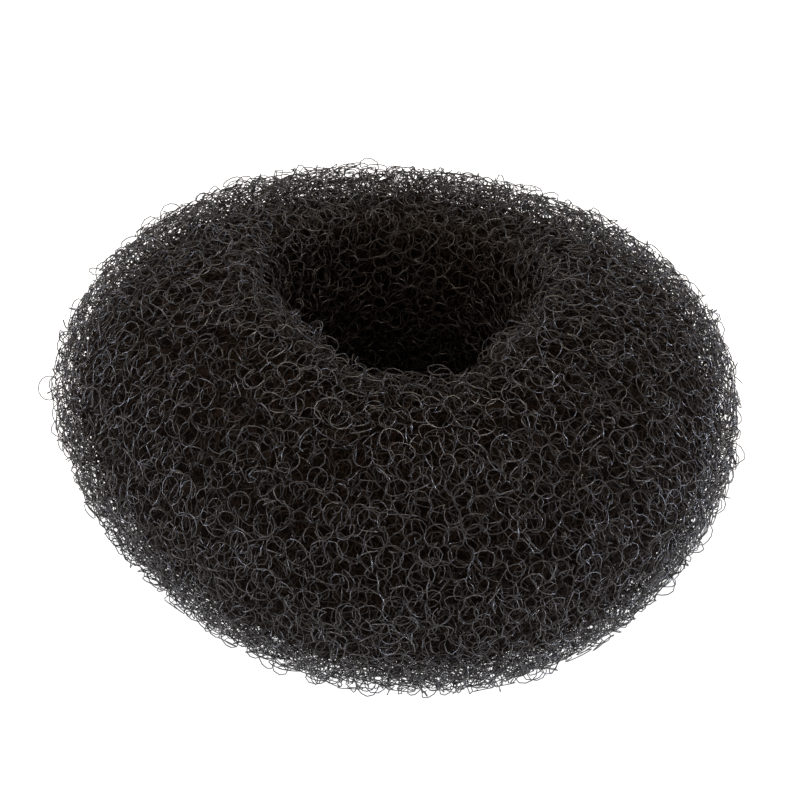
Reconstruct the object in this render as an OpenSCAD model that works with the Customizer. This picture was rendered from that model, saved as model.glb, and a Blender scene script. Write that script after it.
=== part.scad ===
// Hair donut: one soft ring wound from knitted nylon net, with a funnel mouth on top.
// Millimetres. +Z is up and the front of the ring faces -Y.
// The origin is under the middle of its outline, on the surface that the ring rests on.

/* [Ring] */
// Mean outside diameter, seen from above
ring_d = 90; // [76:1:110]
// Mean height of the crest above the surface
ring_h = 45; // [38:0.5:52]
// Height of the widest girth
belly_h = 25; // [20:0.5:29]
// Diameter of the circle that the foot rests on
foot_d = 46; // [42:1:54]
// How deep the soft foot is pressed flat by the surface
foot_press = 0.8; // [0.4:0.1:2]

/* [Mouth] */
// Diameter of the crest line round the mouth
crest_d = 41; // [36:1:48]
// Diameter of the hole where it is narrowest
throat_d = 27; // [18:0.5:31]
// Height of the narrowest place above the surface
throat_h = 18; // [14:0.5:24]
// How far the hole lies in front of the middle of the ring
hole_forward = 0.5; // [0:0.5:3]
// How far the hole lies to the right of the middle of the ring
hole_right = 1; // [0:0.5:3]

/* [Fullness] */
// Roundness of the upper outside: 1 is an ellipse, less is fuller
shoulder_power = 1.05; // [0.8:0.05:1.2]
// Roundness of the lower outside: 1 is an ellipse, more is leaner
flank_power = 1.1; // [0.8:0.05:1.2]
// Roundness of the wall of the hole
wall_power = 0.9; // [0.65:0.05:1.1]

/* [Hidden] */

// Steps round the ring and round its section
ring_steps = 96;
section_steps = 40;

// Columns of the section table. The lengths are shares of the sizes that they follow.
AZIMUTH = 0;
REACH = 1;
HEIGHT = 2;
THROAT = 3;
CREST = 4;
// Azimuth in degrees from +X towards the back, reach of ring_d, height of ring_h,
// throat of throat_d, crest of crest_d
SECTIONS = [
    [0, 0.99, 1.01, 1.04, 0.96],
    [45, 0.96, 0.93, 1.02, 0.98],
    [90, 0.98, 0.92, 0.98, 1.00],
    [135, 1.02, 0.99, 0.98, 1.04],
    [180, 1.03, 1.07, 1.02, 1.06],
    [205, 0.97, 1.06, 1.00, 1.01],
    [225, 0.95, 1.04, 0.98, 0.95],
    [270, 0.99, 0.99, 0.96, 1.00],
    [295, 1.02, 0.99, 0.95, 1.00],
    [315, 1.01, 1.00, 0.94, 0.98],
];

// Columns of the fold table
FOLD_AZIMUTH = 0;
FOLD_SPAN = 1;
FOLD_ANGLE = 2;
FOLD_SWEEP = 3;
FOLD_DEPTH = 4;
// Azimuth and half span round the ring, angle and half sweep round the section, all in degrees,
// where 90 is the crest and 180 the throat. Depth is a share of ring_h, and a lobe's is negative.
FOLDS = [
    [220, 14, 120, 34, -0.02],
    [247, 12, 120, 34, 0.01],
    [297, 7, 110, 34, 0.022],
    [315, 12, 115, 34, -0.04],
];

// Value of a table's column at azimuth a, on a smooth closed curve through the rows
function around(table, column, a) =
    let (
        n = len(table),
        i = max([for (k = [0 : n - 1]) if (table[k][AZIMUTH] <= a) k]),
        before = row_place(table, i - 1),
        here = row_place(table, i),
        next = row_place(table, i + 1),
        after = row_place(table, i + 2),
        v = [for (k = [-1 : 2]) table[(i + k + n) % n][column]],
        span = next - here,
        start_slope = (v[2] - v[0]) / (next - before) * span,
        end_slope = (v[3] - v[1]) / (after - here) * span,
        t = (a - here) / span
    )
    v[1] * (2 * t ^ 3 - 3 * t ^ 2 + 1)
    + start_slope * (t ^ 3 - 2 * t ^ 2 + t)
    + v[2] * (3 * t ^ 2 - 2 * t ^ 3)
    + end_slope * (t ^ 3 - t ^ 2);

// Azimuth of row i, carried on past a full turn
function row_place(table, i) =
    let (n = len(table), turns = floor(i / n))
    table[i - turns * n][AZIMUTH] + 360 * turns;

// Angle from a to b the short way round, in degrees
function apart(a, b) = abs((a - b + 540) % 360 - 180);

// How much of a fold is felt at azimuth a and section angle t, from 0 to 1
function fold_share(fold, a, t) =
    exp(-(apart(a, fold[FOLD_AZIMUTH]) / fold[FOLD_SPAN]) ^ 2
        - (apart(t, fold[FOLD_ANGLE]) / fold[FOLD_SWEEP]) ^ 2);

// Sum of all folds at that place, in mm, inwards
function fold_depth(a, t) =
    ring_h * sum([for (fold = FOLDS) fold[FOLD_DEPTH] * fold_share(fold, a, t)]);

// Sum of a list of numbers
function sum(list) = list * [for (value = list) 1];

// One quarter of the section: from a centre, the reach outwards and upwards at angle t
function quarter(middle, wide, high, power, t) =
    middle + [wide * abs(cos(t)) ^ power, high * abs(sin(t)) ^ power];

// Point of the unfolded section at azimuth a and section angle t, as [distance from axis, height]
function section(a, t) =
    let (
        reach = ring_d / 2 * around(SECTIONS, REACH, a),
        top = ring_h * around(SECTIONS, HEIGHT, a),
        throat = throat_d / 2 * around(SECTIONS, THROAT, a),
        crest = crest_d / 2 * around(SECTIONS, CREST, a),
        foot = foot_d / 2,
        level = t < 90 || t > 270 ? belly_h : throat_h,
        edge = t < 90 || t > 270 ? reach : throat,
        power = t < 90 ? shoulder_power : t <= 270 ? wall_power : flank_power
    )
    t <= 180
        ? quarter([crest, level], edge - crest, top - level, power, t)
        : quarter([foot, level], edge - foot, -foot_press - level, power, t);

// Unit direction out of the section at that place
function outwards(a, t) =
    let (
        step = 2,
        along = section(a, min(t + step, 360)) - section(a, max(t - step, 0)),
        across = [along[1], -along[0]]
    )
    across / norm(across);

// Point of the surface, with the folds pressed in and the hole moved off the middle
function surface_point(a, t) =
    let (
        p = section(a, t) - fold_depth(a, t) * outwards(a, t),
        nearness = max(0, 1 - p[0] / (ring_d / 2))
    )
    [
        p[0] * cos(a) + hole_right * nearness,
        p[0] * sin(a) - hole_forward * nearness,
        p[1]
    ];

// All points, one closed section after the other
surface = [
    for (i = [0 : ring_steps - 1])
        for (j = [0 : section_steps - 1])
            surface_point(i * 360 / ring_steps, j * 360 / section_steps)
];

// Four points to a face, joined to the next section and closed both ways
faces = [
    for (i = [0 : ring_steps - 1])
        for (j = [0 : section_steps - 1])
            let (
                next_i = (i + 1) % ring_steps,
                next_j = (j + 1) % section_steps
            )
            [
                i * section_steps + j,
                i * section_steps + next_j,
                next_i * section_steps + next_j,
                next_i * section_steps + j
            ]
];

// Middle of the outline along one axis
function outline_middle(axis) =
    let (places = [for (p = surface) p[axis]])
    (min(places) + max(places)) / 2;

// The wound ring, cut flat where the surface presses its foot
module net_ring() {
    reach = ring_d;
    color("#1b1b1c")
        difference() {
            translate([-outline_middle(0), -outline_middle(1), 0])
                polyhedron(points = surface, faces = faces);
            translate([-reach, -reach, -reach])
                cube([2 * reach, 2 * reach, reach]);
        }
}

net_ring();
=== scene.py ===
"""Hair donut: a soft ring rolled up from black knitted nylon net.

The net is wound on itself in many layers. The outer layers are modelled loop by loop, as one
continuous filament to each row of knitting, and the layers below them are one rolled core.
Metres, in the frame's own axes: +Z is up and the front of the ring faces -Y.
"""

import logging
import math
from dataclasses import dataclass
from enum import Enum

import bpy
import numpy as np
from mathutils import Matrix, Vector
from mathutils.bvhtree import BVHTree
from mathutils.kdtree import KDTree


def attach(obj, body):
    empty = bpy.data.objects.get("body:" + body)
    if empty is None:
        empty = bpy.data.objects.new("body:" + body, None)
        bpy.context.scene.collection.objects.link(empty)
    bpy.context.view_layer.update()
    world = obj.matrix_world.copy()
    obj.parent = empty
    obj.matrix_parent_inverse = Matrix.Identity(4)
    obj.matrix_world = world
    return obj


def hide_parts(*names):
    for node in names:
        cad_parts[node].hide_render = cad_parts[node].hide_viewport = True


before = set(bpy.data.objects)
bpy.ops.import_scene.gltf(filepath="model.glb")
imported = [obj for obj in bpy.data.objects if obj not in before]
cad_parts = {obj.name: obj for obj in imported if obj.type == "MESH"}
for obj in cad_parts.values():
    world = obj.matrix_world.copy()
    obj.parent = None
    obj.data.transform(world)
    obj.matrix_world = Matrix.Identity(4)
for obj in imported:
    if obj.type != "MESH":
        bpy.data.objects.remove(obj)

LOG = logging.getLogger("hair_donut")
MM = 0.001
TURN = 2.0 * math.pi
BODY = "root"
NODE = "net_ring"
# Mesh attribute that drives the filament's painted shade: each point's depth in the net, with the
# painted shade of the hole added as more depth
PAINTED_SHADE_DEPTH = "depth in the net with painted hole shade"
# Turns from a place on the ring to the next one, which shows which way is onwards
AHEAD = 0.002
# A noise texture's values mostly lie between these
NOISE_RANGE = (0.3, 0.7)
# Samples of the ring's surface, round it and round its section
SAMPLES_ROUND = 240
SAMPLES_ACROSS = 160


def linear(hex_colour: str) -> tuple[float, float, float, float]:
    """Turn an sRGB hex colour to the linear one that the shaders take.

    Args:
        hex_colour: Six hex digits after a hash.

    Returns:
        Linear red, green and blue, and an alpha of 1.
    """
    channels = [int(hex_colour[i:i + 2], 16) / 255.0 for i in (1, 3, 5)]
    red, green, blue = (
        c / 12.92 if c <= 0.04045 else ((c + 0.055) / 1.055) ** 2.4 for c in channels
    )
    return red, green, blue, 1.0


def unit(vectors: np.ndarray) -> np.ndarray:
    """Scale each vector of an array to length 1."""
    return vectors / np.linalg.norm(vectors, axis=-1, keepdims=True)


def add_node(
    material: bpy.types.Material,
    kind: str,
    settings: dict[str, object] | None = None,
    inputs: dict[str | int, object] | None = None,
) -> bpy.types.ShaderNode:
    """Add a shader node with its settings and links.

    Args:
        material: The material that gets the node.
        kind: The node's type name.
        settings: Properties of the node itself.
        inputs: A value, or another node's output, for each named or numbered input.

    Returns:
        The new node.
    """
    tree = material.node_tree
    node = tree.nodes.new(kind)
    for name, value in (settings or {}).items():
        setattr(node, name, value)
    for name, value in (inputs or {}).items():
        if isinstance(value, bpy.types.NodeSocket):
            tree.links.new(value, node.inputs[name])
        else:
            node.inputs[name].default_value = value
    return node


def start_material(name: str) -> tuple[bpy.types.Material, bpy.types.NodeSocket]:
    """Start a node material.

    Args:
        name: The material's name.

    Returns:
        The material, and the output that says where on the object each point lies.
    """
    material = bpy.data.materials.new(name)
    material.use_nodes = True
    material.node_tree.nodes.clear()
    return material, add_node(material, "ShaderNodeTexCoord").outputs["Object"]


def add_noise(
    material: bpy.types.Material, place: bpy.types.NodeSocket, size: float, detail: float = 2.0
) -> bpy.types.NodeSocket:
    """Add soft noise with blotches of that size, and give its grey value."""
    inputs = {"Vector": place, "Scale": 1.0 / size, "Detail": detail}
    return add_node(material, "ShaderNodeTexNoise", inputs=inputs).outputs["Fac"]


def add_range(
    material: bpy.types.Material,
    value: bpy.types.NodeSocket,
    source: tuple[float, float],
    target: tuple[float, float] = (0.0, 1.0),
) -> bpy.types.NodeSocket:
    """Map a value from the source range to the target range, and keep it within that."""
    ends = {"From Min": source[0], "From Max": source[1], "To Min": target[0], "To Max": target[1]}
    return add_node(material, "ShaderNodeMapRange", inputs={"Value": value} | ends).outputs["Result"]


def add_blend(
    material: bpy.types.Material, share: bpy.types.NodeSocket, first: str, second: str
) -> bpy.types.NodeSocket:
    """Blend two sRGB hex colours, by the share of the second one."""
    inputs = {"Factor": share, "A": linear(first), "B": linear(second)}
    return add_node(material, "ShaderNodeMix", {"data_type": "RGBA"}, inputs).outputs["Result"]


def add_surface(material: bpy.types.Material, inputs: dict[str, object]) -> None:
    """Add a material's surface shader, with its inputs, and its output."""
    shader = add_node(material, "ShaderNodeBsdfPrincipled", inputs=inputs).outputs["BSDF"]
    add_node(material, "ShaderNodeOutputMaterial", inputs={"Surface": shader})


@dataclass(frozen=True)
class DrawnNylon:
    """Black nylon 6 filament, drawn through a die: smooth, with a soft silky glint.

    It is dyed right through. Deep in the net it is drawn browner and darker, as painted shade
    for the little light that gets there through the wraps above, and rougher, so duller.
    """

    name: str
    # Colour of a strand at the top of the net, and the warmer, darker painted shade that it turns to
    # between the depths high and low
    crest: str = "#282727"
    sunk: str = "#201710"
    high: float = -0.5 * MM
    low: float = 3.2 * MM
    tone_size: float = 6.0 * MM
    # How much higher or deeper than it lies a patch of the net can look
    tone: float = 0.3 * MM
    smoothest: float = 0.16
    roughest: float = 0.38
    # How much rougher the filament looks where it lies deepest
    dull: float = 0.25
    gloss_size: float = 1.6 * MM
    specular: float = 0.5
    ior: float = 1.53

    def build(self) -> bpy.types.Material:
        """Make the material.

        Returns:
            The finished material.
        """
        material, place = start_material(self.name)
        depth = add_node(material, "ShaderNodeAttribute", {"attribute_name": PAINTED_SHADE_DEPTH})
        # The dye has taken a little unevenly, so the black varies within a finger's breadth
        cloud = add_noise(material, place, self.tone_size)
        blotch = add_range(material, cloud, NOISE_RANGE, (-self.tone, self.tone))
        sum_of = {0: depth.outputs["Fac"], 1: blotch}
        seen = add_node(material, "ShaderNodeMath", {"operation": "ADD"}, sum_of).outputs[0]
        # Painted shade: the upper loops stand out, grey black, from a warm dark painted ground
        # deeper in the net, and that gives the net depth
        shade = add_range(material, seen, (self.high, self.low))
        dye_and_painted_shade = add_blend(material, shade, self.crest, self.sunk)
        # The die scratches the filament lengthwise, so glints break up into short dashes. Real
        # scratches are hundredths of a millimetre wide: they are drawn coarser, so that they show
        scratches = add_noise(material, place, self.gloss_size, detail=1.0)
        streak = add_range(material, scratches, NOISE_RANGE, (self.smoothest, self.roughest))
        # Only the outer loops glint
        duller = {0: shade, 1: self.dull, 2: streak}
        rough = add_node(material, "ShaderNodeMath", {"operation": "MULTIPLY_ADD"}, duller)
        finish = {
            "Base Color": dye_and_painted_shade,
            "Roughness": rough.outputs[0],
            "IOR": self.ior,
            "Specular IOR Level": self.specular,
        }
        add_surface(material, finish)
        return material


@dataclass(frozen=True)
class RolledNet:
    """The inner layers of nylon net, rolled up and pressed together: near black, faint loops."""

    name: str = "rolled black nylon net"
    # Painted shade: black nylon drawn darker and warmer than the outer filament, with hardly any
    # specular, for the little light that reaches under the wraps
    dark: str = "#0a0705"
    light: str = "#1c1510"
    roughness: float = 0.9
    specular: float = 0.02
    ior: float = 1.53
    loop: float = 2.5 * MM
    second_loop: float = 1.9 * MM
    strand: float = 0.12 * MM
    # Distances from a strand's middle, in strands, up to which it is whole and at which it ends
    whole: float = 0.4
    ends: float = 1.2
    depth: float = 0.4 * MM
    relief: float = 0.8

    def build(self) -> bpy.types.Material:
        """Make the material.

        Returns:
            The finished material.
        """
        material, place = start_material(self.name)
        # Two nets of loops, one seen through the other, as of two layers that lie on each other
        strands = []
        for loop in (self.loop, self.second_loop):
            loops = add_node(
                material,
                "ShaderNodeTexVoronoi",
                {"feature": "DISTANCE_TO_EDGE"},
                {"Vector": place, "Scale": 1.0 / loop, "Randomness": 1.0},
            )
            edge = (self.whole * self.strand / loop, self.ends * self.strand / loop)
            strands.append(add_range(material, loops.outputs["Distance"], edge, (1.0, 0.0)))
        either = dict(enumerate(strands))
        both = add_node(material, "ShaderNodeMath", {"operation": "MAXIMUM"}, either).outputs[0]
        # Painted shade: the strands get a trace of light, and what is between them is all but black
        colour = add_blend(material, both, self.dark, self.light)
        # They stand up from the layer by a few strands, so that it doesn't look painted
        relief = add_node(
            material,
            "ShaderNodeBump",
            inputs={"Height": both, "Strength": self.relief, "Distance": self.depth},
        )
        finish = {
            "Base Color": colour,
            "Roughness": self.roughness,
            "IOR": self.ior,
            "Specular IOR Level": self.specular,
            "Normal": relief.outputs["Normal"],
        }
        add_surface(material, finish)
        return material


@dataclass(frozen=True)
class LightTable:
    """Opal acrylic, cast and then frosted, lit from below: even white, without a shadow.

    Under the middle of the ring its glow is taken away, as a painted shadow of the ring, so that
    no light comes up through the hole.
    """

    name: str = "opal acrylic of a light table"
    white: str = "#fcfcfc"
    opal: str = "#9c9c9c"
    milky: str = "#a4a4a4"
    grain: float = 4.0 * MM
    roughness: float = 0.9
    specular: float = 0.2
    glow: float = 1.0
    shade_radius: float = 10.0 * MM
    glow_radius: float = 24.0 * MM

    def build(self) -> bpy.types.Material:
        """Make the material.

        Returns:
            The finished material.
        """
        material, place = start_material(self.name)
        # The opal isn't spread quite evenly, which keeps the unlit part from looking like paper
        grain = add_noise(material, place, self.grain)
        tone = add_blend(material, grain, self.opal, self.milky)
        # Painted shadow: the glow fades out under the middle of the ring, where the ring's shadow
        # lies
        middle = add_node(material, "ShaderNodeVectorMath", {"operation": "LENGTH"}, {0: place})
        lit = add_node(
            material,
            "ShaderNodeMapRange",
            {"interpolation_type": "SMOOTHSTEP"},
            {
                "Value": middle.outputs["Value"],
                "From Min": self.shade_radius,
                "From Max": self.glow_radius,
                "To Min": 0.0,
                "To Max": self.glow,
            },
        )
        finish = {
            "Base Color": tone,
            "Roughness": self.roughness,
            "Specular IOR Level": self.specular,
            "Emission Color": linear(self.white),
            "Emission Strength": lit.outputs["Result"],
        }
        add_surface(material, finish)
        return material


class Lay(Enum):
    """The way in which a wrap's rows of knitting run over the ring."""

    ROUND = 0
    RIGHT_HAND = 1
    LEFT_HAND = -1


class Envelope:
    """The outer surface of the ring, read from the frame's own solid.

    A place on it is two numbers: turns round the ring, and the share of the way round its
    section, measured along the surface from the belly over the crest and down the hole.
    """

    # Size of a loop at the throat, against one outside, and the share of the way from the crest
    # to the throat at which it is reached
    gathered: float = 0.78
    gathered_from: float = 0.6
    # How far before the crest the painted shade of the hole begins, as a share of the section's
    # girth
    rim: float = 0.05
    # Painted shade in the funnel, and the share of the way from crest to throat at which it is met
    dusk: float = 0.85
    dusk_from: float = 0.25
    # Rays cast for each point of a section, so that its points can be set at even steps
    rays_per_step: int = 4

    def __init__(self, solid: bpy.types.Object, steps_round: int, steps_across: int) -> None:
        """Read the surface.

        Args:
            solid: The ring's node in the frame.
            steps_round: Samples round the ring.
            steps_across: Samples round its section.
        """
        mesh = solid.data
        self.tree = BVHTree.FromPolygons(
            [v.co for v in mesh.vertices], [tuple(p.vertices) for p in mesh.polygons]
        )
        self.top = max(v.co.z for v in mesh.vertices)
        rings = [self.section(i / steps_round, steps_across) for i in range(steps_round)]
        self.points = np.array(rings)
        self.normals = self.find_normals()
        steps = np.roll(self.points, -1, axis=1) - self.points
        self.girth = float(np.linalg.norm(steps, axis=2).sum(axis=1).mean())
        self.radius = np.hypot(self.points[..., 0], self.points[..., 1]).mean(axis=0)
        height = self.points[..., 2].mean(axis=0)
        self.crest = float(np.argmax(height)) / steps_across
        self.throat = float(np.argmin(self.radius)) / steps_across
        self.foot = float(np.argmin(height)) / steps_across

    def section(self, turn: float, steps: int) -> np.ndarray:
        """Read one section of the ring at even steps along its outline.

        Args:
            turn: Where the section is, in turns round the ring.
            steps: How many points to give.

        Returns:
            The points, as an array of steps by 3.
        """
        out = Vector((math.cos(turn * TURN), math.sin(turn * TURN), 0.0))
        level = Vector((0.0, 0.0, self.top / 2.0))
        wall = self.tree.ray_cast(level, out)[0]
        belly = self.tree.ray_cast(level + out, -out)[0]
        middle = (wall + belly) / 2.0
        rays = self.rays_per_step * steps
        hits = []
        for i in range(rays):
            angle = TURN * i / rays
            aim = out * math.cos(angle) + Vector((0.0, 0.0, math.sin(angle)))
            hits.append(self.tree.ray_cast(middle, aim)[0])
        outline = np.array(hits + hits[:1])
        lengths = np.linalg.norm(np.diff(outline, axis=0), axis=1)
        along = np.concatenate(([0.0], np.cumsum(lengths)))
        wanted = np.arange(steps) / steps * along[-1]
        return np.stack([np.interp(wanted, along, outline[:, k]) for k in range(3)], axis=1)

    def find_normals(self) -> np.ndarray:
        """Find the outward direction at each sample.

        Returns:
            Unit vectors, in the same order as the points.
        """
        onwards = np.roll(self.points, -1, axis=0) - np.roll(self.points, 1, axis=0)
        across = np.roll(self.points, -1, axis=1) - np.roll(self.points, 1, axis=1)
        return unit(np.cross(onwards, across))

    def at(self, turns: np.ndarray, shares: np.ndarray) -> tuple[np.ndarray, np.ndarray]:
        """Give points and outward directions at many places.

        Args:
            turns: Places round the ring, in turns.
            shares: Places round the section, from 0 to 1.

        Returns:
            The points and the unit normals.
        """
        count_u, count_v = self.points.shape[:2]
        u = (turns % 1.0) * count_u
        v = (shares % 1.0) * count_v
        i, j = np.floor(u).astype(int), np.floor(v).astype(int)
        a, b = (u - i)[:, None], (v - j)[:, None]
        i, j = i % count_u, j % count_v
        i2, j2 = (i + 1) % count_u, (j + 1) % count_v
        results = []
        for grid in (self.points, self.normals):
            low = grid[i, j] * (1 - a) + grid[i2, j] * a
            high = grid[i, j2] * (1 - a) + grid[i2, j2] * a
            results.append(low * (1 - b) + high * b)
        points, normals = results
        return points, unit(normals)

    def radius_at(self, shares: np.ndarray) -> np.ndarray:
        """Mean distance from the axis at places round the section."""
        places = np.arange(len(self.radius) + 1) / len(self.radius)
        return np.interp(shares % 1.0, places, np.append(self.radius, self.radius[0]))

    def crowding_at(self, shares: np.ndarray) -> np.ndarray:
        """Tell how the net is gathered up in the hole, where its loops are smaller.

        Args:
            shares: Places round the section, from 0 to 1.

        Returns:
            The size of the loops there, against those outside.
        """
        funnel = self.crest + self.gathered_from * (self.throat - self.crest)
        flank = (self.throat + self.foot) / 2.0
        places = [self.crest, funnel, flank, self.foot]
        return np.interp(shares % 1.0, places, [1.0, self.gathered, self.gathered, 1.0])

    def shade_at(self, shares: np.ndarray) -> np.ndarray:
        """Tell how much painted shade the hole's wall gets, for the shade that the ring casts there.

        Args:
            shares: Places round the section, from 0 to 1.

        Returns:
            Shares of the full painted shade, which is that of the throat.
        """
        funnel = self.crest + self.dusk_from * (self.throat - self.crest)
        places = [self.crest - self.rim, funnel, self.throat, self.foot]
        return np.interp(shares % 1.0, places, [0.0, self.dusk, 1.0, 0.0])


@dataclass
class Filament:
    """One length of nylon filament, swept as a thin closed tube."""

    thickness: float
    sides: int = 3

    def sweep(
        self, path: np.ndarray, across: np.ndarray, closed: bool
    ) -> tuple[np.ndarray, list[tuple[int, ...]]]:
        """Sweep the filament along a path.

        Args:
            path: Points along the middle of the filament.
            across: A direction at each point that is never along the path.
            closed: Whether the end joins the start.

        Returns:
            The tube's points and its faces.
        """
        count = len(path)
        if closed:
            tangent = np.roll(path, -1, axis=0) - np.roll(path, 1, axis=0)
        else:
            tangent = np.gradient(path, axis=0)
        tangent = unit(tangent)
        side = unit(across - (across * tangent).sum(axis=1, keepdims=True) * tangent)
        other = np.cross(tangent, side)
        angles = np.arange(self.sides) * TURN / self.sides
        # With this radius, a thin prism looks as wide, on average, as the round filament
        radius = self.thickness / 2.0 * (math.pi / self.sides) / math.sin(math.pi / self.sides)
        points = (
            path[:, None, :]
            + radius * np.cos(angles)[None, :, None] * side[:, None, :]
            + radius * np.sin(angles)[None, :, None] * other[:, None, :]
        ).reshape(-1, 3)
        links = count if closed else count - 1
        here = np.arange(links)[:, None] * self.sides
        there = (np.arange(links)[:, None] + 1) % count * self.sides
        k = np.arange(self.sides)[None, :]
        k2 = (k + 1) % self.sides
        quads = np.stack([here + k, here + k2, there + k2, there + k], axis=2).reshape(-1, 4)
        faces = [tuple(q) for q in quads.tolist()]
        if not closed:
            last = (count - 1) * self.sides
            faces.append(tuple(reversed(range(self.sides))))
            faces.append(tuple(range(last, last + self.sides)))
        return points, faces


class TubeMesh:
    """A mesh that gathers filaments.

    Knitted loops can't be had from primitives, so the mesh is made from their own points.
    """

    def __init__(self, filament: Filament) -> None:
        """Start with no filament.

        Args:
            filament: What is swept along each path.
        """
        self.filament = filament
        self.points: list[np.ndarray] = []
        self.depths: list[np.ndarray] = []
        self.faces: list[tuple[int, ...]] = []
        self.count = 0

    def add(self, path: np.ndarray, across: np.ndarray, depth: np.ndarray, closed: bool) -> None:
        """Add one filament.

        Args:
            path: Points along the middle of the filament.
            across: A direction at each point that is never along the path.
            depth: How deep each point lies in the net, with the painted shade of the hole added on.
            closed: Whether the end joins the start.
        """
        tube, quads = self.filament.sweep(path, across, closed)
        self.points.append(tube)
        self.depths.append(np.repeat(depth, self.filament.sides))
        self.faces.extend(tuple(i + self.count for i in quad) for quad in quads)
        self.count += len(tube)

    def build(self, name: str, finish: bpy.types.Material) -> bpy.types.Object:
        """Make the object.

        Args:
            name: Its name.
            finish: Its material.

        Returns:
            The object.
        """
        mesh = bpy.data.meshes.new(name)
        mesh.from_pydata(np.concatenate(self.points).tolist(), [], self.faces)
        mesh.polygons.foreach_set("use_smooth", np.ones(len(mesh.polygons), dtype=bool))
        depth = mesh.attributes.new(PAINTED_SHADE_DEPTH, "FLOAT", "POINT")
        depth.data.foreach_set("value", np.concatenate(self.depths).astype(np.float32))
        mesh.materials.append(finish)
        mesh.update()
        wrap = bpy.data.objects.new(name, mesh)
        bpy.context.scene.collection.objects.link(wrap)
        return wrap


class LoopField:
    """The middles of all loops of a wrap, and the room that each has among its neighbours."""

    neighbours: int = 8
    # So many of them touch the loop, on average
    touching: int = 6
    # The higher it is, the sharper are the corners where three loops meet
    corner: float = 5.5
    # From 0, where loops fill their room as a foam does, to 1, where each is a circle
    roundness: float = 0.45
    # How far a loop reaches where nothing stops it, against its mean size
    slack: float = 1.25
    # Painted shade of the hole: how much deeper a place at the throat is drawn than at the crest
    hole_shade: float = 2.2 * MM

    def __init__(self, ring: Envelope, places: np.ndarray, weights: np.ndarray) -> None:
        """Set each loop in a frame of its own, and find its neighbours.

        Args:
            ring: The surface that the net is wound on.
            places: The loops' middles, as turns and shares.
            weights: How large each loop would be, against its neighbours.
        """
        self.points, self.normals = ring.at(places[:, 0], places[:, 1])
        self.shade = self.hole_shade * ring.shade_at(places[:, 1])
        ahead, _ = ring.at(places[:, 0] + AHEAD, places[:, 1])
        first = ahead - self.points
        first -= (first * self.normals).sum(axis=1, keepdims=True) * self.normals
        self.first = unit(first)
        self.second = np.cross(self.normals, self.first)
        near = self.nearest()
        apart = self.points[near] - self.points[:, None, :]
        self.bearing = np.arctan2(
            (apart * self.second[:, None, :]).sum(axis=2),
            (apart * self.first[:, None, :]).sum(axis=2),
        )
        share = weights[:, None] / (weights[:, None] + weights[near])
        self.reach = np.linalg.norm(apart, axis=2) * share
        self.size = self.reach[:, :self.touching].mean(axis=1)

    def nearest(self) -> np.ndarray:
        """Find each loop's nearest neighbours.

        Returns:
            Their numbers, a row to each loop.
        """
        tree = KDTree(len(self.points))
        for number, point in enumerate(self.points):
            tree.insert(point, number)
        tree.balance()
        count = self.neighbours + 1
        hits = [tree.find_n(point, count)[1:] for point in self.points]
        return np.array([[number for _, number, _ in row] for row in hits])

    def towards(self, loops: np.ndarray, others: np.ndarray) -> np.ndarray:
        """Angle, in each loop's own frame, at which another loop lies."""
        apart = self.points[others] - self.points[loops]
        return np.arctan2(
            (apart * self.second[loops]).sum(axis=1), (apart * self.first[loops]).sum(axis=1)
        )

    def room(self, loops: np.ndarray, angles: np.ndarray) -> np.ndarray:
        """Measure how far a loop can reach before it meets its neighbours.

        Args:
            loops: The loops' numbers.
            angles: A direction for each, in its own frame.

        Returns:
            The distances.
        """
        facing = np.clip(np.cos(angles[:, None] - self.bearing[loops]), 0.0, 1.0)
        tight = (facing / self.reach[loops]) ** self.corner
        most = (self.slack * self.size[loops]) ** -self.corner
        cell = (tight.sum(axis=1) + most) ** (-1.0 / self.corner)
        return cell + self.roundness * (self.size[loops] - cell)


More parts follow.
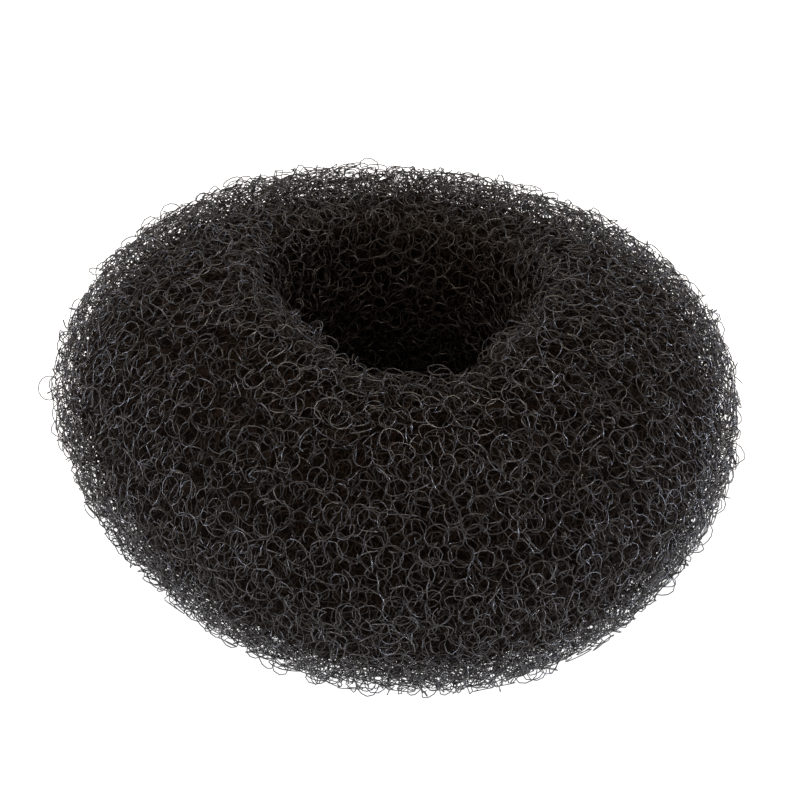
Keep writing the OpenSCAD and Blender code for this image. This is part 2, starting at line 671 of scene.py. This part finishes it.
@dataclass
class NetWrap:
    """One wrap of the knitted net: strips of rounded loops, each strip one filament.

    The loops of a strip lie in a zigzag. The filament goes nearly once round each of them,
    one to the left and the next to the right, and crosses over where they touch. Every loop
    fills the room between its neighbours, as the cells of a foam do.
    """

    name: str
    lay: Lay
    seed: int
    finish: bpy.types.Material
    depth: float
    cell: float
    # Length of a straight piece of filament, and the fewest and most pieces to a loop
    piece: float
    thickness: float
    fewest: int = 5
    most: int = 12
    # Reach of a loop against its room: above 1, loops overlap
    fill: float = 1.12
    size_spread: float = 0.17
    wander: float = 0.12
    depth_spread: float = 0.3 * MM
    unround: float = 0.05
    # Spread of the tilt of the loops that lie flat, and share and tilt of those that stand up
    flat_tilt: float = 24.0
    standing: float = 0.3
    standing_tilt: tuple[float, float] = (45.0, 90.0)
    # How far a loop that stands upright is sunk, in loop sizes
    sink: float = 0.4
    # How fast a loop rises from its ends: it is at its full tilt at one fourth of its length
    rise: float = 4.0
    # How far a corner of the filament is pulled towards the middle of its neighbours
    pull: float = 0.25
    # Height of the lowest filament's middle above the floor, in thicknesses
    lowest: float = 0.7
    # Slope of the slanting strips where the ring is widest, in degrees
    slope: float = 10.0
    # Samples round the section, along which strips are laid out
    samples: int = 400
    # Steepest climb of a strip, as the sine of its slope
    steepest: float = 0.95
    # Where the width of a strip is looked for, in strips, and how often that range is halved
    width_range: tuple[float, float] = (0.7, 1.4)
    halvings: int = 60

    @property
    def strip(self) -> float:
        """Width of a strip, which is two rows of a triangular pattern."""
        return math.sqrt(3.0) * self.cell

    def courses(self, ring: Envelope) -> list[np.ndarray]:
        """Lay out the strips of knitting.

        Args:
            ring: The surface that the net is wound on.

        Returns:
            For each strip, places along its middle line, half a cell apart, as turns and
            shares. They run on, and the last is the first again. Without it, they are even in
            number, so that the zigzag closes.
        """
        if self.lay is Lay.ROUND:
            return self.round_courses(ring)
        return self.slanting_courses(ring)

    def round_courses(self, ring: Envelope) -> list[np.ndarray]:
        """Lay out strips that run level round the ring.

        Args:
            ring: The surface that the net is wound on.

        Returns:
            The strips, as courses gives them.
        """
        fine = np.arange(self.samples + 1) / self.samples
        crowding = ring.crowding_at((fine[1:] + fine[:-1]) / 2.0)
        passed = np.concatenate(([0.0], np.cumsum(ring.girth / self.samples / crowding)))
        strips = round(float(passed[-1]) / self.strip)
        shares = np.interp((np.arange(strips) + 0.5) / strips * passed[-1], passed, fine)
        lengths = TURN * ring.radius_at(shares)
        counts = np.rint(lengths / (self.cell * ring.crowding_at(shares))).astype(int)
        courses = []
        for share, pairs in zip(shares, counts):
            turns = np.arange(2 * pairs + 1) / (2 * pairs)
            courses.append(np.stack([turns, np.full(2 * pairs + 1, share)], axis=1))
        return courses

    @property
    def middles(self) -> np.ndarray:
        """Places round the section, halfway between its samples."""
        return (np.arange(self.samples) + 0.5) / self.samples

    def climb(self, ring: Envelope, starts: int, width: float) -> np.ndarray:
        """Find how far a slanting strip goes round the ring on its way round the section.

        Args:
            ring: The surface that the net is wound on.
            starts: How many strips climb side by side.
            width: How wide each of them is.

        Returns:
            The turns that it gains at each sample of the section.
        """
        round_here = TURN * ring.radius_at(self.middles)
        slant = starts * width * ring.crowding_at(self.middles) / round_here
        slant = np.clip(slant, 0.0, self.steepest)
        return ring.girth / self.samples * np.sqrt(1.0 - slant ** 2) / slant / round_here

    def fitted_width(self, ring: Envelope, starts: int, wanted: int) -> float:
        """Find the width at which strips close on themselves, by halving a range.

        Args:
            ring: The surface that the net is wound on.
            starts: How many strips climb side by side.
            wanted: By how many strips one climb has to go round.

        Returns:
            The width.
        """
        low, high = (self.strip * share for share in self.width_range)
        for _ in range(self.halvings):
            middle = (low + high) / 2.0
            if float(self.climb(ring, starts, middle).sum()) * starts > wanted:
                low = middle
            else:
                high = middle
        return middle

    def slanting_courses(self, ring: Envelope) -> list[np.ndarray]:
        """Lay out strips that climb over the ring, evenly spaced all the way.

        Args:
            ring: The surface that the net is wound on.

        Returns:
            The strips, as courses gives them.
        """
        widest = float(ring.radius_at(self.middles).max())
        across = TURN * widest * math.sin(math.radians(self.slope))
        starts = max(2, round(across / self.strip))
        wanted = max(1, round(float(self.climb(ring, starts, self.strip).sum()) * starts))
        gain = self.climb(ring, starts, self.fitted_width(ring, starts, wanted))
        turns_on = np.concatenate(([0.0], np.cumsum(gain)))
        shares_on = np.arange(self.samples) / self.samples
        courses = []
        left = set(range(starts))
        while left:
            first = min(left)
            start, passes = first, 0
            while start in left:
                left.discard(start)
                passes += 1
                start = (start + wanted) % starts
            turns = np.concatenate([turns_on[:-1] + turns_on[-1] * k for k in range(passes)])
            turns = np.append(turns, turns_on[-1] * passes)
            shares = np.append(np.tile(shares_on, passes), 0.0)
            along = self.walked(ring, turns, shares)
            pairs = round(float(along[-1]) / self.cell)
            at = np.arange(2 * pairs + 1) / (2 * pairs) * along[-1]
            # Shares are run on before they are read between samples, so that none jumps back
            run_on = np.unwrap(shares * TURN) / TURN
            u = first / starts + np.interp(at, along, turns)
            v = np.interp(at, along, run_on)
            courses.append(np.stack([self.lay.value * u, v], axis=1))
        return courses

    def walked(self, ring: Envelope, turns: np.ndarray, shares: np.ndarray) -> np.ndarray:
        """Length walked along a course up to each of its samples, longer where loops are small.

        Args:
            ring: The surface that the net is wound on.
            turns: The samples' turns.
            shares: The samples' shares.

        Returns:
            The lengths, from 0.
        """
        points, _ = ring.at(turns, shares)
        lengths = np.linalg.norm(np.diff(points, axis=0), axis=1) / ring.crowding_at(shares[:-1])
        return np.concatenate(([0.0], np.cumsum(lengths)))

    def loop_middles(
        self, ring: Envelope, course: np.ndarray, dice: np.random.Generator
    ) -> np.ndarray:
        """Place a strip's loops in a zigzag about its middle line.

        Args:
            ring: The surface that the net is wound on.
            course: The strip's middle line.
            dice: The wrap's own random numbers.

        Returns:
            The loops' middles as turns and shares.
        """
        loops = len(course) - 1
        scale = np.stack(
            [TURN * ring.radius_at(course[:-1, 1]), np.full(loops, ring.girth)], axis=1
        )
        onwards = unit(np.diff(course, axis=0) * scale)
        left = np.stack([-onwards[:, 1], onwards[:, 0]], axis=1)
        side = np.where(np.arange(loops) % 2 == 0, 1.0, -1.0)[:, None]
        offset = side * left * self.strip / 4.0
        offset += dice.normal(0.0, self.wander * self.cell, (loops, 2))
        return course[:-1] + offset * ring.crowding_at(course[:-1, 1])[:, None] / scale

    def tilts(self, loops: int, dice: np.random.Generator) -> np.ndarray:
        """Choose how far each loop is turned up from the surface.

        Args:
            loops: How many loops there are.
            dice: The wrap's own random numbers.

        Returns:
            The angles, in radians.
        """
        stands = dice.random(loops) < self.standing
        upright = dice.uniform(*self.standing_tilt, loops)
        flat = np.abs(dice.normal(0.0, self.flat_tilt, loops))
        return np.radians(np.where(stands, upright, flat))

    def knit(
        self, loops: LoopField, run: np.ndarray, dice: np.random.Generator
    ) -> tuple[np.ndarray, np.ndarray, np.ndarray]:
        """Lead one filament through all loops of a strip.

        Args:
            loops: All loops of the wrap.
            run: The numbers of the strip's loops, in the order that the filament takes.
            dice: The wrap's own random numbers.

        Returns:
            The filament's points, the direction square to the loop at each, and their depths with
            the painted shade of the hole added on.
        """
        # Loops on the left of the middle line are gone round clockwise, over their far side
        sense = np.where(np.arange(len(run)) % 2 == 0, -1.0, 1.0)
        # Loops overlap, and the filament changes over where they cross the second time
        extra = math.acos(min(1.0, 1.0 / self.fill))
        leave = loops.towards(run, np.roll(run, -1)) + sense * extra
        arrive = loops.towards(run, np.roll(run, 1)) - sense * extra
        turned = sense * ((sense * (leave - arrive)) % TURN)
        pieces = np.abs(turned) * loops.size[run] * self.fill / self.piece
        counts = np.clip(np.rint(pieces), self.fewest, self.most).astype(int)
        at = np.repeat(np.arange(len(run)), counts)
        starts = np.cumsum(counts) - counts
        share = (np.arange(len(at)) - starts[at] + 0.5) / counts[at]
        angle = arrive[at] + turned[at] * share
        radius = self.fill * loops.room(run[at], angle)
        # No loop is a true circle: each is a little oval and a little three-cornered
        for corners, phase in zip((2.0, 3.0), dice.uniform(0.0, TURN, (2, len(run)))):
            radius *= 1.0 + self.unround * np.cos(corners * angle + phase[at])
        tilt = self.tilts(len(run), dice)
        depth = self.depth + dice.normal(0.0, self.depth_spread, len(run))
        # A loop that stands up sits deeper, so that only its upper part shows
        depth += self.sink * loops.size[run] * np.sin(tilt)
        hinge = dice.uniform(0.0, TURN, len(run))
        # The ends of a loop stay in the net, where it meets the loops before and after it
        rise = tilt[at] * np.clip(self.rise * np.minimum(share, 1.0 - share), 0.0, 1.0)
        first, second, normal = loops.first[run], loops.second[run], loops.normals[run]
        cosine, sine = np.cos(hinge)[:, None], np.sin(hinge)[:, None]
        pin = (cosine * first + sine * second)[at]
        flat = (cosine * second - sine * first)[at]
        normal = normal[at]
        along = radius * np.cos(angle - hinge[at])
        out = radius * np.sin(angle - hinge[at])
        height = out * np.sin(rise) - depth[at]
        path = loops.points[run][at] + along[:, None] * pin
        path += (out * np.cos(rise))[:, None] * flat + height[:, None] * normal
        # A loop that would go through the floor is lifted as a whole
        lowest = np.full(len(run), np.inf)
        np.minimum.at(lowest, at, path[:, 2])
        path[:, 2] += np.clip(self.thickness - lowest, 0.0, None)[at]
        across = np.cos(rise)[:, None] * normal - np.sin(rise)[:, None] * flat
        # The depths given out carry the painted shade of the hole, added as more depth
        return self.softened(path), across, loops.shade[run][at] - height

    def softened(self, path: np.ndarray) -> np.ndarray:
        """Round the path's corners, and keep its loops as wide as they were.

        Args:
            path: Points of a closed filament.

        Returns:
            As many points, none so low that the filament would go through the floor.
        """
        mean = (np.roll(path, 1, axis=0) + np.roll(path, -1, axis=0)) / 2.0
        smooth = path + self.pull * (mean - path)
        mean = (np.roll(smooth, 1, axis=0) + np.roll(smooth, -1, axis=0)) / 2.0
        smooth -= self.pull * (mean - smooth)
        smooth[:, 2] = np.maximum(smooth[:, 2], self.thickness * self.lowest)
        return smooth

    def build(self, ring: Envelope) -> bpy.types.Object:
        """Make the wrap.

        Args:
            ring: The surface that the net is wound on.

        Returns:
            The wrap's object.
        """
        dice = np.random.default_rng(self.seed)
        middles = [self.loop_middles(ring, course, dice) for course in self.courses(ring)]
        places = np.concatenate(middles)
        weights = np.exp(dice.normal(0.0, self.size_spread, len(places)))
        loops = LoopField(ring, places, weights)
        tubes = TubeMesh(Filament(self.thickness))
        start = 0
        for strip in middles:
            run = np.arange(start, start + len(strip))
            tubes.add(*self.knit(loops, run, dice), closed=True)
            start += len(strip)
        return tubes.build(self.name, self.finish)


@dataclass(frozen=True)
class StrayStrand:
    """A length of filament that has worked its way out of the net: a loop or a cut end."""

    turn: float
    share: float
    out: float
    wide: float
    lean: float
    is_cut: bool = False
    rooted: float = 0.8 * MM
    # Degrees that a loop goes round before it is back in the net
    bow: float = 290.0

    def path(self, ring: Envelope, steps: int) -> tuple[np.ndarray, np.ndarray]:
        """Follow the strand from inside the net, out, and back in where it isn't cut.

        Args:
            ring: The surface that it comes out of.
            steps: How many points to give.

        Returns:
            The points, and a direction that is never along them.
        """
        turns = np.array([self.turn, self.turn + AHEAD])
        places, normals = ring.at(turns, np.full(2, self.share))
        base, normal = places[0], normals[0]
        first = places[1] - base
        first = (first - (first @ normal) * normal) / np.linalg.norm(first)
        second = np.cross(normal, first)
        lean = math.radians(self.lean)
        side = math.cos(lean) * first + math.sin(lean) * second
        square = np.cross(side, normal)
        share = np.linspace(0.0, 1.0, steps)
        if self.is_cut:
            up = share * (self.out + self.rooted) - self.rooted
            along = self.wide * share ** 2
        else:
            angle = (share - 0.5) * math.radians(self.bow)
            radius = (self.out + self.rooted) / 2.0
            up = radius - self.rooted + radius * np.cos(angle)
            along = self.wide / 2.0 * np.sin(angle)
        path = base + up[:, None] * normal + along[:, None] * side
        return path, np.tile(square, (steps, 1))


@dataclass
class StrayStrands:
    """All strands that stand out from the net."""

    name: str = "stray_strands"
    seed: int = 5
    loops: int = 26
    cuts: int = 12
    steps: int = 13
    thickness: float = 0.12 * MM
    # From a little below the belly over the crest and into the mouth
    shares: tuple[float, float] = (-0.1, 0.35)
    out: tuple[float, float] = (0.7 * MM, 1.3 * MM)
    wide: tuple[float, float] = (1.4 * MM, 2.4 * MM)

    def placed(self) -> list[StrayStrand]:
        """The strands that the photograph shows: a loop at the left and two ends in front."""
        return [
            StrayStrand(0.5, 0.02, 2.0 * MM, 3.2 * MM, 128.0),
            StrayStrand(0.77, 0.9, 1.3 * MM, 0.5 * MM, 10.0, is_cut=True),
            StrayStrand(0.79, 0.9, 1.4 * MM, -0.4 * MM, 30.0, is_cut=True),
        ]

    def scattered(self) -> list[StrayStrand]:
        """Scatter more of them over the ring, but not on its foot.

        Returns:
            The strands, loops first and then cut ends.
        """
        dice = np.random.default_rng(self.seed)
        return [
            StrayStrand(
                dice.uniform(0.0, 1.0),
                dice.uniform(*self.shares) % 1.0,
                dice.uniform(*self.out),
                dice.uniform(*self.wide),
                dice.uniform(0.0, 360.0),
                is_cut=number >= self.loops,
            )
            for number in range(self.loops + self.cuts)
        ]

    def build(self, ring: Envelope, finish: bpy.types.Material) -> bpy.types.Object:
        """Make the strands.

        Args:
            ring: The surface that they come out of.
            finish: Their material.

        Returns:
            Their object.
        """
        tubes = TubeMesh(Filament(self.thickness))
        for strand in self.placed() + self.scattered():
            path, across = strand.path(ring, self.steps)
            path[:, 2] = np.maximum(path[:, 2], self.thickness)
            tubes.add(path, across, np.zeros(self.steps), closed=False)
        return tubes.build(self.name, finish)


@dataclass
class RolledCore:
    """The inner layers of the roll, as one soft closed ring under the outer wraps."""

    name: str = "rolled_core"
    sunk: float = 4.2 * MM
    lump: float = 4.0 * MM
    lump_height: float = 1.4 * MM
    steps_round: int = 150
    steps_across: int = 64
    # Tube of the torus before it is fitted, as a share of the ring's own
    slim: float = 0.55

    def build(
        self, solid: bpy.types.Object, ring: Envelope, finish: bpy.types.Material
    ) -> bpy.types.Object:
        """Make the core.

        Args:
            solid: The ring's node in the frame.
            ring: Its surface.
            finish: The core's material.

        Returns:
            The core's object.
        """
        middle = float(ring.radius.max() + ring.radius.min()) / 2.0
        reach = float(ring.radius.max() - ring.radius.min()) / 2.0
        bpy.ops.object.select_all(action="DESELECT")
        bpy.ops.mesh.primitive_torus_add(
            location=(0.0, 0.0, ring.top / 2.0),
            major_segments=self.steps_round,
            minor_segments=self.steps_across,
            major_radius=middle,
            minor_radius=reach * self.slim,
        )
        core = bpy.context.object
        core.name = self.name
        core.data.name = self.name
        bpy.ops.object.transform_apply(location=True, rotation=True, scale=True)
        hug = core.modifiers.new("hug", "SHRINKWRAP")
        hug.target = solid
        hug.wrap_method = "PROJECT"
        hug.use_negative_direction = False
        hug.use_positive_direction = True
        hug.offset = self.sunk
        lumps = bpy.data.textures.new("lumps of the roll", "CLOUDS")
        lumps.noise_scale = self.lump
        swell = core.modifiers.new("swell", "DISPLACE")
        swell.texture = lumps
        swell.texture_coords = "LOCAL"
        swell.strength = self.lump_height
        swell.mid_level = 0.5
        for modifier in ("hug", "swell"):
            bpy.ops.object.modifier_apply(modifier=modifier)
        bpy.ops.object.shade_smooth()
        core.data.materials.clear()
        core.data.materials.append(finish)
        return core


@dataclass(frozen=True)
class Softbox:
    """A soft light in a white cloth box, which faces the ring."""

    name: str
    place: tuple[float, float, float]
    size: tuple[float, float]
    watts: float
    tint: str

    def hang(self, aim: Vector) -> None:
        """Hang it up.

        Args:
            aim: The place that it faces.
        """
        light = bpy.data.lights.new(self.name, "AREA")
        light.shape = "RECTANGLE"
        light.size, light.size_y = self.size
        light.energy = self.watts
        light.color = linear(self.tint)[:3]
        lamp = bpy.data.objects.new(self.name, light)
        lamp.location = self.place
        lamp.rotation_euler = (aim - Vector(self.place)).to_track_quat("-Z", "Y").to_euler()
        bpy.context.scene.collection.objects.link(lamp)


@dataclass
class Studio:
    """A lit white floor, soft light from all round, and the camera at the photograph's angle.

    The light from above and in front is a little warm, and that from the sides a little cool.
    """

    elevation: float = 38.5
    distance: float = 0.5
    aim: tuple[float, float, float] = (0.604 * MM, 0.0, 24.76 * MM)
    pixels_per_mm: float = 7.537
    image: int = 800
    sensor: float = 36.0
    floor_size: float = 8.0
    sky: float = 0.33
    warm: str = "#ffeedd"
    cool: str = "#dae5ff"

    def softboxes(self) -> list[Softbox]:
        """List the lights, from above round to the right."""
        return [
            Softbox("overhead softbox", (0.0, 0.15, 0.9), (0.4, 0.4), 8.4, self.warm),
            Softbox("front softbox", (-0.4, -0.9, 0.45), (0.5, 0.5), 5.3, self.warm),
            Softbox("left softbox", (-0.9, -0.15, 0.12), (0.5, 0.2), 10.2, self.cool),
            Softbox("right softbox", (0.9, -0.25, 0.07), (0.6, 0.12), 15.0, self.cool),
        ]

    def build(self) -> None:
        """Make the floor, the lights and the camera."""
        self.add_floor()
        for softbox in self.softboxes():
            softbox.hang(Vector(self.aim))
        self.add_sky()
        self.add_camera()
        bpy.context.scene.view_settings.view_transform = "Standard"

    def add_floor(self) -> None:
        """Lay the floor."""
        bpy.ops.object.select_all(action="DESELECT")
        bpy.ops.mesh.primitive_plane_add(size=self.floor_size)
        floor = bpy.context.object
        floor.name = "floor"
        floor.data.materials.append(LightTable().build())

    def add_sky(self) -> None:
        """Light the scene evenly from all round."""
        world = bpy.data.worlds.new("white studio")
        world.use_nodes = True
        sky = world.node_tree.nodes["Background"]
        sky.inputs["Color"].default_value = (1.0, 1.0, 1.0, 1.0)
        sky.inputs["Strength"].default_value = self.sky
        bpy.context.scene.world = world

    def add_camera(self) -> None:
        """Set the camera up."""
        lens = bpy.data.cameras.new("camera")
        lens.sensor_width = self.sensor
        lens.lens = self.pixels_per_mm / MM * self.distance * self.sensor / self.image
        tilt = math.radians(self.elevation)
        camera = bpy.data.objects.new("camera", lens)
        camera.location = Vector(self.aim) + Vector(
            (0.0, -math.cos(tilt), math.sin(tilt))
        ) * self.distance
        camera.rotation_euler = (math.pi / 2.0 - tilt, 0.0, 0.0)
        bpy.context.scene.collection.objects.link(camera)
        bpy.context.scene.camera = camera


# One nylon three times, with less and less specular: the second and third are painted shade for the
# wraps that lie deeper, where the wraps above take the light
OUTER_NYLON = DrawnNylon("black drawn nylon filament")
SHADED_NYLON = DrawnNylon("nylon filament in the shade", specular=0.3)
DEEP_SHADE_NYLON = DrawnNylon("nylon filament in deep painted shade", specular=0.05)


def net_wraps(outer: bpy.types.Material) -> list[NetWrap]:
    """List the modelled wraps, from the outside in.

    Args:
        outer: The finish of the outer wraps.

    Returns:
        The wraps.
    """
    shaded, deep = SHADED_NYLON.build(), DEEP_SHADE_NYLON.build()
    right, left, level = Lay.RIGHT_HAND, Lay.LEFT_HAND, Lay.ROUND
    # Name, lay, seed, finish, depth, cell, straight piece and thickness. The loops that stand up
    # from the outermost wrap are sunk less, and make the ring's edge fuzzy
    return [
        NetWrap("net_wrap_1", right, 11, outer, 0.18 * MM, 2.6 * MM, 0.9 * MM, 0.132 * MM, sink=0.3),
        NetWrap("net_wrap_2", left, 23, outer, 0.55 * MM, 2.6 * MM, 0.92 * MM, 0.132 * MM),
        NetWrap("net_wrap_3", level, 37, shaded, 1.1 * MM, 2.5 * MM, 1.18 * MM, 0.12 * MM),
        NetWrap("net_wrap_4", right, 41, shaded, 1.8 * MM, 2.5 * MM, 1.35 * MM, 0.12 * MM),
        NetWrap("net_wrap_5", left, 59, deep, 2.6 * MM, 2.5 * MM, 1.5 * MM, 0.145 * MM),
        NetWrap("net_wrap_6", level, 73, deep, 3.4 * MM, 2.5 * MM, 1.6 * MM, 0.165 * MM),
    ]


def declare(piece: bpy.types.Object) -> None:
    """Attach a piece to the ring's body, hide the frame's solid of the ring, and log its triangles.

    Args:
        piece: The piece.
    """
    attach(piece, BODY)
    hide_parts(NODE)
    LOG.info("%s: %d triangles", piece.name, sum(len(p.vertices) - 2 for p in piece.data.polygons))


def main() -> None:
    """Build the ring, piece by piece."""
    logging.basicConfig(level=logging.INFO, format="%(name)s: %(message)s")
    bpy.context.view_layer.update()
    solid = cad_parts[NODE]
    ring = Envelope(solid, SAMPLES_ROUND, SAMPLES_ACROSS)
    LOG.info("girth of the section %.1f mm", ring.girth / MM)
    Studio().build()
    declare(RolledCore().build(solid, ring, RolledNet().build()))
    outer = OUTER_NYLON.build()
    for wrap in net_wraps(outer):
        declare(wrap.build(ring))
    declare(StrayStrands().build(ring, outer))


if __name__ == "__main__":
    main()
